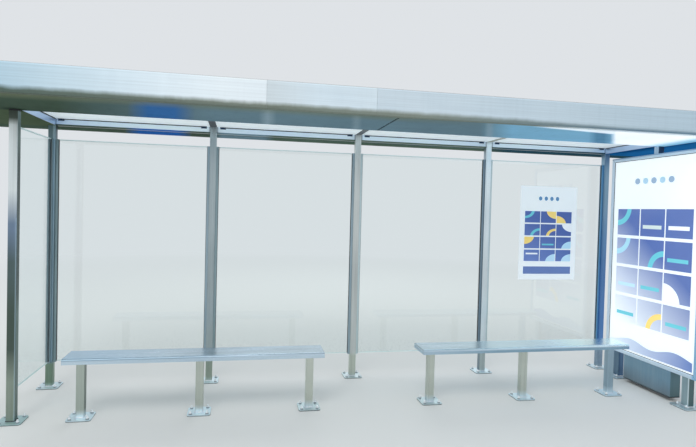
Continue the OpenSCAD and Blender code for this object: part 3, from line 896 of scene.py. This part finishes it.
def new_mesh(name, shape, material):
    """A mesh of the shape, all in one material."""
    points, faces = shape
    mesh = bpy.data.meshes.new(name)
    mesh.from_pydata(np.asarray(points).tolist(), [], faces)
    mesh.materials.append(material)
    return mesh


def new_object(name, data):
    """An object at the origin for a mesh, a lamp or the camera."""
    made = bpy.data.objects.new(name, data)
    scene.collection.objects.link(made)
    return made


def piece(name, shape, material):
    """Makes the object, points its faces outwards and lets it ride on the shelter."""
    mesh = new_mesh(name, shape, material)
    work = bmesh.new()
    work.from_mesh(mesh)
    bmesh.ops.recalc_face_normals(work, faces=work.faces)
    work.to_mesh(mesh)
    work.free()
    mesh.shade_smooth()
    mesh.set_sharp_from_angle(angle=SHARP)
    made = new_object(name, mesh)
    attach(made, "root")


def anchor_bolt(flats=0.0095, washer=0.0135, stud=0.0058):
    """A washer, a chamfered hexagon nut and the stud's end above it in one turned
    shape. The hexagon's radius at angle t is flats / cos(t mod 60 degrees - 30
    degrees)."""
    angle = angles(24)
    hexagon = flats / np.cos(np.mod(angle, np.pi / 3) - np.pi / 6)
    return lathed([
        (washer, 0.0), (washer, 0.0018), (washer - 0.0007, 0.0025), (hexagon, 0.0025),
        (hexagon, 0.0115), (np.minimum(hexagon, flats * 1.02), 0.0128),
        (stud + 0.0004, 0.0128), (stud, 0.0132), (stud, 0.0240), (stud - 0.0012, 0.0252),
    ], angle)


def rounded_path(half_x, half_y, radius, steps):
    """Points and outward directions along a rounded rectangle: straight runs joined
    by quarter circles, spaced evenly by length."""
    points, outs = [], []
    for quarter in range(4):
        turn = quarter * np.pi / 2
        cos, sin = round(math.cos(turn)), round(math.sin(turn))
        hx, hy = (half_x, half_y) if quarter % 2 == 0 else (half_y, half_x)
        corner = np.array([hx - radius, hy - radius])
        run = np.linspace(-1, 1, steps)[:-1, None] * [0.0, 1.0] * corner + [hx, 0.0]
        arc = np.linspace(0, np.pi / 2, ROUND)[:, None]
        ring = np.concatenate([np.cos(arc), np.sin(arc)], 1)
        local = np.concatenate([run, corner + radius * ring])
        normal = np.concatenate([np.tile([1.0, 0.0], (len(run), 1)), ring])
        spin = np.array([[cos, sin], [-sin, cos]])
        points.append(local @ spin)
        outs.append(normal @ spin)
    points, outs = np.concatenate(points), np.concatenate(outs)
    flat = np.zeros((len(points), 1))
    return np.concatenate([points, flat], 1), np.concatenate([outs, flat], 1)


def foot_weld(half_x, half_y, leg=0.0055):
    """A fillet weld around a tube's foot: a hollow bead whose size swells by a sine of
    the point's number, as the puddles of a hand-laid weld do."""
    path, out = rounded_path(half_x, half_y, TUBE_R, steps=30)
    swell = 1.0 + 0.13 * np.sin(np.arange(len(path))[:, None] * 2 * np.pi / 3.7)
    turn = np.linspace(0, np.pi / 2, 4)
    arc = np.stack([leg * (1 - 0.75 * np.sin(turn)), leg * (1 - 0.75 * np.cos(turn))], -1)
    profile = np.concatenate([[[-0.001, -0.0005], [leg, -0.0005]], arc, [[-0.001, leg]]])
    return carried(profile, path, out * swell, swell * [0.0, 0.0, 1.0], True)


def gasket(x, y, along, off):
    """A rubber bead in the corner between a glass face and a channel's end: a
    quarter-round profile of 4.5 by 3.2 millimetres carried up the pane."""
    levels = np.linspace(GLASS_FOOT + 0.001, GLASS_TOP - 0.001, 9)
    path = np.stack(np.broadcast_arrays(x, y, levels), -1)
    return carried(quarter_round(0.0045, 0.0032), path, along, off)


def ceiling_clip(y_wall, facing):
    """A folded strap: up the beam, round a bend and along under the panel. The path
    is two straight runs joined by a quarter circle, the profile a rounded strip."""
    top, bend, width = CEILING - CLIP_DOWN, 0.004, 0.050
    wall = y_wall + facing * (CLIP_THICK / 2 + 0.0003)
    turn = np.linspace(0, np.pi / 2, 7)
    bend_y = wall + facing * bend * (1 - np.cos(turn))
    bend_z = top - bend + bend * np.sin(turn)
    tongue = wall + facing * np.array([0.010, 0.016, 0.018])
    run_y = np.concatenate([[wall, wall], bend_y, tongue])
    run_z = np.concatenate([[top - 0.016, top - 0.010], bend_z, [top, top, top - 0.002]])
    path = np.stack([np.zeros_like(run_y), run_y, run_z], -1)
    step = np.gradient(path, axis=0)
    step /= np.linalg.norm(step, axis=1)[:, None]
    side = np.array([1.0, 0.0, 0.0])
    w, t = width / 2, CLIP_THICK / 2
    profile = np.array([[-w, -t * 0.5], [-w + 0.001, -t], [w - 0.001, -t], [w, -t * 0.5],
                        [w, t * 0.5], [w - 0.001, t], [-w + 0.001, t], [-w, t * 0.5]])
    return carried(profile, path, side, np.cross(side, step))


def corner_seal(start, end, away, size=0.007):
    """A rubber cord in the corner of a beam and a ceiling panel: a quarter-round
    profile carried from start to end, waving by a few tenths of a millimetre."""
    share = np.linspace(0.0, 1.0, 30)[:, None]
    path = np.array(start) * (1 - share) + np.array(end) * share
    side = np.array(away, float) * (1 + 0.06 * np.sin(share * 31.0))
    return carried(quarter_round(size, size), path, side, (0.0, 0.0, -1.0))


def screw_head(radius, height):
    """A low domed head that looks down: the dome's height at distance r is height *
    sqrt(1 - (r / radius)^2), over a short straight rim."""
    turn = np.linspace(0, np.pi / 2, ROUND)[:-1]
    radii = np.concatenate([[radius], radius * np.cos(turn)])
    levels = np.concatenate([[0.0], 0.0006 + height * np.sin(turn)])
    points, faces = lathed(zip(radii, levels), angles(14))
    return points * [1.0, -1.0, -1.0], faces


def rectangle_bead(x, facing, inset, size):
    """A thin gasket between a poster and its frame: a quarter-round profile carried
    round the frame's opening, mitred at its corners."""
    y0, y1 = BOX_FRONT + inset, BOX_REAR - inset
    z0, z1 = BOX_LOW + inset, BOX_HIGH - inset
    path = np.array([[x, y0, z0], [x, y1, z0], [x, y1, z1], [x, y0, z1]])
    inward = np.array([[0, 1, 1], [0, -1, 1], [0, -1, -1], [0, 1, -1]], float)
    return carried(quarter_round(size, size), path, inward, (facing, 0, 0), True)


# Finishes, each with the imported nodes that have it

FINISHES = [
    (brushed("post_steel", (0.76, 0.78, 0.78), (0.62, 0.66, 0.68), "z", 0.30, foot=0.10,
             streaks=0.08, extra=post_painted_light, middle_plate=(0.77, 0.83, 0.85)),
     ["rear_post_%d" % i for i in range(1, 6)] + ["front_right_stub"]),
    (brushed("front_post_steel", (0.66, 0.70, 0.72), (0.52, 0.57, 0.58), "z", 0.32,
             foot=0.10, streaks=0.08, extra=front_post_painted_light, plate=(0.74, 0.85, 0.86)),
     ["front_left_post"]),
    (brushed("leg_steel", (0.83, 0.85, 0.81), (0.72, 0.75, 0.72), "z", 0.32, foot=0.06,
             streaks=0.06, extra=leg_painted_light, middle_plate=(0.70, 0.76, 0.77)),
     ["left_bench_legs", "right_bench_legs"]),
    (brushed("box_leg_steel", (0.43, 0.55, 0.60), (0.34, 0.44, 0.49), "z", 0.32, foot=0.05,
             streaks=0.08, extra=box_leg_painted_light), ["poster_box_legs"]),
    (brushed("beam_steel", (0.93, 0.98, 1.0), (0.86, 0.93, 1.0), "x", 0.36,
             extra=beam_painted_shade), ["front_beam", "rear_beam"]),
    (brushed("side_beam_steel", (0.84, 0.91, 1.0), (0.76, 0.84, 0.95), "y", 0.36),
     ["side_beams"]),
    # the cross beams' dark steel tones are painted shade
    (brushed("cross_beam_steel", (0.25, 0.28, 0.36), (0.20, 0.20, 0.24), "y", 0.40,
             extra=cross_beam_painted_shade, metal=0.3), ["cross_beams"]),
    (brushed("seat_steel", (0.82, 0.89, 0.94), (0.72, 0.80, 0.87), "x", 0.28,
             extra=seat_wear_and_painted_light), ["left_bench_seat", "right_bench_seat"]),
    (brushed("channel_steel", (0.56, 0.64, 0.67), (0.51, 0.59, 0.63), "z", 0.36,
             streaks=0.04, extra=channel_painted_light),
     ["back_glazing_channels", "side_glazing_channels"]),
    (brushed("deck_steel", (0.72, 0.75, 0.76), (0.60, 0.61, 0.60), "x", 0.5,
             extra=deck_joints), ["roof_deck"]),
    (brushed("fascia_left_steel", (0.75, 0.85, 0.90), (0.71, 0.81, 0.87), "x", 0.34,
             streaks=0.02, metal=0.6,
             extra=fading(SEAM_LEFT - 1.6, SEAM_LEFT - 0.3, (0.93, 0.965, 0.985))),
     ["front_fascia_left"]),
    (brushed("fascia_middle_steel", (0.93, 0.98, 1.0), (0.85, 0.91, 0.95), "x", 0.34,
             streaks=0.02, metal=0.6,
             extra=fading(SEAM_LEFT + 0.35, SEAM_LEFT, (0.84, 0.88, 0.90))),
     ["front_fascia_middle"]),
    (brushed("fascia_right_steel", (0.88, 0.93, 0.96), (0.82, 0.88, 0.92), "x", 0.34,
             streaks=0.02, metal=0.6,
             extra=fading(SEAM_RIGHT, SEAM_RIGHT + 2.6, (0.76, 0.84, 0.89))),
     ["front_fascia_right"]),
    (brushed("fascia_end_steel", (0.82, 0.88, 0.92), (0.74, 0.81, 0.86), "y", 0.34,
             streaks=0.04, extra=roof_edge_painted_shade, metal=0.6),
     ["left_end_fascia", "right_end_fascia"]),
    (brushed("rear_fascia_steel", (0.78, 0.83, 0.86), (0.68, 0.73, 0.76), "x", 0.36,
             streaks=0.06, extra=behind_painted_shade, metal=0.5), ["rear_fascia"]),
    (soffit_sheet(),
     ["front_soffit_left", "front_soffit_right", "rear_soffit", "end_soffits"]),
    (opal_ceiling(), ["ceiling_panel_%d" % i for i in range(1, 5)]),
    (clear_glass(), ["back_glass_%d" % i for i in range(1, 5)] + ["left_side_glass"]),
    (paper_notice(), ["glass_notice"]),
    (satin_paint("box_body_paint", (0.60, 0.66, 0.72), (0.50, 0.56, 0.62), BOX_LOW, 0.25),
     ["poster_box_body"]),
    (satin_paint("case_paint", (0.48, 0.62, 0.70), (0.42, 0.55, 0.63), CASE_FOOT, 0.12,
                 CASE_END), ["equipment_case"]),
    (satin_frame(), ["inner_poster_frame", "outer_poster_frame"]),
    (lit_poster("lit_poster_inner", False, 4.0), ["inner_poster"]),
    (lit_poster("lit_poster_outer", True, 11.0), ["outer_poster"]),
]
for material, names in FINISHES:
    for name in names:
        slots = nodes[name].data.materials
        for index in range(len(slots)):
            slots[index] = material
        if len(slots) == 0:
            slots.append(material)


# Fixings, welds, rubber and clips

plated = zinc("plated_fixing", (0.93, 0.96, 0.97), (0.76, 0.79, 0.80))
anchor_zinc = zinc("anchor_zinc", (0.98, 0.99, 1.0), (0.88, 0.91, 0.93), 0.3, 0.8)
dark_clip = zinc("dark_clip", (0.24, 0.32, 0.42), (0.14, 0.20, 0.30))
black_rubber = rubber("black_rubber", (0.09, 0.09, 0.10))
grey_sealant = rubber("grey_sealant", (0.46, 0.48, 0.48))
weld = weld_metal()

# Each kind of foot: the places, the anchors' pitch, half the tube and the slot
FEET = [
    ("post", [(x, Y_REAR) for x in POST_X] + [(FIRST_X, Y_FRONT)],
     PITCH_SQUARE, (POST_HALF, POST_HALF), "post_steel"),
    ("bench", [(x, BENCH_Y) for side in ("left", "right") for x in bench_leg_x(side)],
     PITCH_SQUARE, (POST_HALF, POST_HALF), "leg_steel"),
    ("box", [(BOX_X, BOX_Y - BOX_REACH), (BOX_X, BOX_Y + BOX_REACH)],
     PITCH_BOX, BOX_LEG_HALF, "box_leg"),
]
for kind, feet, (pitch_x, pitch_y), half, slot in FEET:
    places = [(x + sx * pitch_x / 2, y + sy * pitch_y / 2, PLATE_TOP)
              for x, y in feet for sx in (-1, 1) for sy in (-1, 1)]
    piece(kind + "_anchor_bolts", repeated(anchor_bolt(), places), anchor_zinc)
for kind, feet, pitch, half, slot in FEET:
    places = [(x, y, PLATE_TOP) for x, y in feet]
    piece(kind + "_foot_welds", repeated(foot_weld(*half), places), weld)

JOINT = 0.012                    # height of the joint over the front left post
PACKING_HALF, PACKING_R = 0.0272, 0.0032    # the packing in it: half its width, corners
BULGE = 0.0024                   # how far the packing swells outwards
path, out = rounded_path(PACKING_HALF, PACKING_HALF, PACKING_R, steps=6)
bulge = np.array([[0.0, -1.0], [0.35, -1.0], [0.85, -0.6], [1.0, 0.0], [0.85, 0.6],
                  [0.35, 1.0], [0.0, 1.0]]) * [BULGE, JOINT / 2 - AIR]
packing = carried(bulge, path, out, (0, 0, 1), True)
piece("front_post_packing", repeated(packing, [(FIRST_X, Y_FRONT, SOFFIT - JOINT / 2)]),
      black_rubber)

bays = list(zip(POST_X, POST_X[1:]))
channel_end = POST_HALF + CHANNEL    # from a post's axis to the end of its channel
beads = [gasket(post + way * channel_end, Y_REAR + face * GLASS_HALF, (way, 0, 0), (0, face, 0))
         for left, right in bays for post, way in ((left, 1), (right, -1))
         for face in (-1, 1)]
beads += [gasket(FIRST_X + face * GLASS_HALF, post + way * channel_end, (0, way, 0), (face, 0, 0))
          for post, way in ((Y_FRONT, 1), (Y_REAR, -1)) for face in (-1, 1)]
piece("glazing_gaskets", together(beads), grey_sealant)

walls = ((WALL_REAR, -1), (WALL_FRONT, 1))    # with the way that each one looks
CLIP_END, CLIP_BESIDE = 0.075, 0.085    # clips from the outer and inner posts' axes
SCREW_X, SCREW_Y = 0.015, 0.011  # a screw from its clip's middle and from the wall
clip_x = [FIRST_X + CLIP_END, LAST_X - CLIP_END]
clip_x[1:1] = [x + s * CLIP_BESIDE for x in POST_X[1:4] for s in (-1, 1)]
clips = [repeated(ceiling_clip(wall, facing), [(x, 0, 0) for x in clip_x])
         for wall, facing in walls]
piece("ceiling_clips", together(clips), dark_clip)
screw_z = CEILING - CLIP_DOWN - CLIP_THICK / 2 - AIR
heads = [(x + s * SCREW_X, wall + facing * SCREW_Y, screw_z)
         for x in clip_x for s in (-1, 1) for wall, facing in walls]
piece("ceiling_clip_screws", repeated(screw_head(radius=0.0030, height=0.0016), heads),
      plated)

SEAL_POST, SEAL_WALL = 0.100, 0.015    # a seal's end from a post's axis and from a wall
under = CEILING - AIR
seals = [corner_seal((left + SEAL_POST, wall + facing * AIR, under),
                     (right - SEAL_POST, wall + facing * AIR, under), (0, facing, 0))
         for left, right in bays for wall, facing in walls]
seals += [corner_seal((wall + facing * AIR, WALL_FRONT + SEAL_WALL, under),
                      (wall + facing * AIR, WALL_REAR - SEAL_WALL, under), (facing, 0, 0))
          for wall, facing in ((FIRST_X + POST_HALF, 1), (LAST_X - POST_HALF, -1))]
piece("ceiling_seals", together(seals), black_rubber)

for name, x, facing in (("inner", float(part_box("inner_poster")[0].x), -1),
                        ("outer", float(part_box("outer_poster")[1].x), 1)):
    piece(name + "_poster_gasket", rectangle_bead(x, facing, inset=0.035, size=0.004),
          black_rubber)


# Floor, light and camera

PALE = (0.875, 0.89, 0.905)      # what the camera sees around the shelter


def studio_floor():
    """A pale floor that takes shadows, and turns into plain background far away."""
    b = Board("studio_floor")
    matt = b.node("ShaderNodeBsdfDiffuse", {}, {0: tone((0.865, 0.87, 0.865))})
    plain = b.node("ShaderNodeEmission", {}, {0: tone(PALE), 1: 1.0})
    b.end("ShaderNodeOutputMaterial",
          b.mix(reach(b.x, b.y).above(9.0, 12.0) * b.seen(), matt, plain))
    return b.owner


def floor_disc(radius, rings, around):
    """A flat disc as rings of growing radius around its middle."""
    angle = angles(around)
    radii = radius * (np.arange(1, rings + 1)[:, None] / rings) ** 2
    grid = np.stack(np.broadcast_arrays(radii * np.cos(angle), radii * np.sin(angle), 0.0), -1)
    return grid.reshape(-1, 3), rings_to_faces(rings, around) + [list(range(around))]


disc = floor_disc(radius=90.0, rings=12, around=64)
floor = new_object("studio_floor", new_mesh("studio_floor", disc, studio_floor()))

# The world lights the shelter softly and is plain where it is seen
studio = Tree(bpy.data.worlds.new("studio"))
scene.world = studio.owner
dim = studio.node("ShaderNodeBackground", {},
                  {"Color": (0.93, 0.97, 1.0, 1.0), "Strength": 0.88})
bright = studio.node("ShaderNodeBackground", {}, {"Color": tone(PALE), "Strength": 1.0})
studio.end("ShaderNodeOutputWorld", studio.mix(studio.seen(), dim, bright))


def stand(name, data, place, right, up, back):
    """Puts a lamp or the camera at a place, with its back to the direction back."""
    rows = np.eye(4)
    rows[:3, :3] = np.stack([right, up, back], -1)
    rows[:3, 3] = place
    made = new_object(name, data)
    made.matrix_world = Matrix(rows.tolist())
    return made


def lamp(name, place, aim, size, watts, colour):
    """A square soft lamp at a place, turned towards the point aim."""
    data = bpy.data.lights.new(name, "AREA")
    data.shape = "SQUARE"
    data.size = size
    data.energy = watts
    data.color = colour
    back = np.array(place, float) - np.array(aim, float)
    back /= np.linalg.norm(back)
    right = np.cross([0.0, 0.0, 1.0], back)
    right /= np.linalg.norm(right)
    stand(name, data, place, right, np.cross(back, right), back)


lamp("key", (-4.0, -7.0, 9.0), (0.0, 0.0, 0.8), 5.0, 330.0, (1.0, 0.985, 0.96))
lamp("back", (2.0, 8.5, 8.0), (0.0, 0.0, 1.0), 6.0, 200.0, (0.95, 0.98, 1.0))

# The camera has the photograph's viewpoint, a little left of the middle
CAMERA = (-1.07782, -4.47202, 1.61375)
YAW, PITCH, ROLL = 0.19559, -0.02333, -0.02600
FOCUS, WIDTH = 530.175, 696.0    # in pixels of the photograph
SENSOR = 36.0                    # in millimetres
forward = np.array([math.sin(YAW) * math.cos(PITCH), math.cos(YAW) * math.cos(PITCH),
                    math.sin(PITCH)])
right = np.array([math.cos(YAW), -math.sin(YAW), 0.0])
below = np.cross(forward, right)
right_rolled = math.cos(ROLL) * right + math.sin(ROLL) * below
below_rolled = -math.sin(ROLL) * right + math.cos(ROLL) * below
camera_data = bpy.data.cameras.new("camera")
camera_data.sensor_width = SENSOR
camera_data.lens = FOCUS / WIDTH * SENSOR
camera_data.clip_start, camera_data.clip_end = 0.05, 300.0
scene.camera = stand("camera", camera_data, CAMERA, right_rolled, -below_rolled, -forward)
scene.view_settings.view_transform = "Standard"
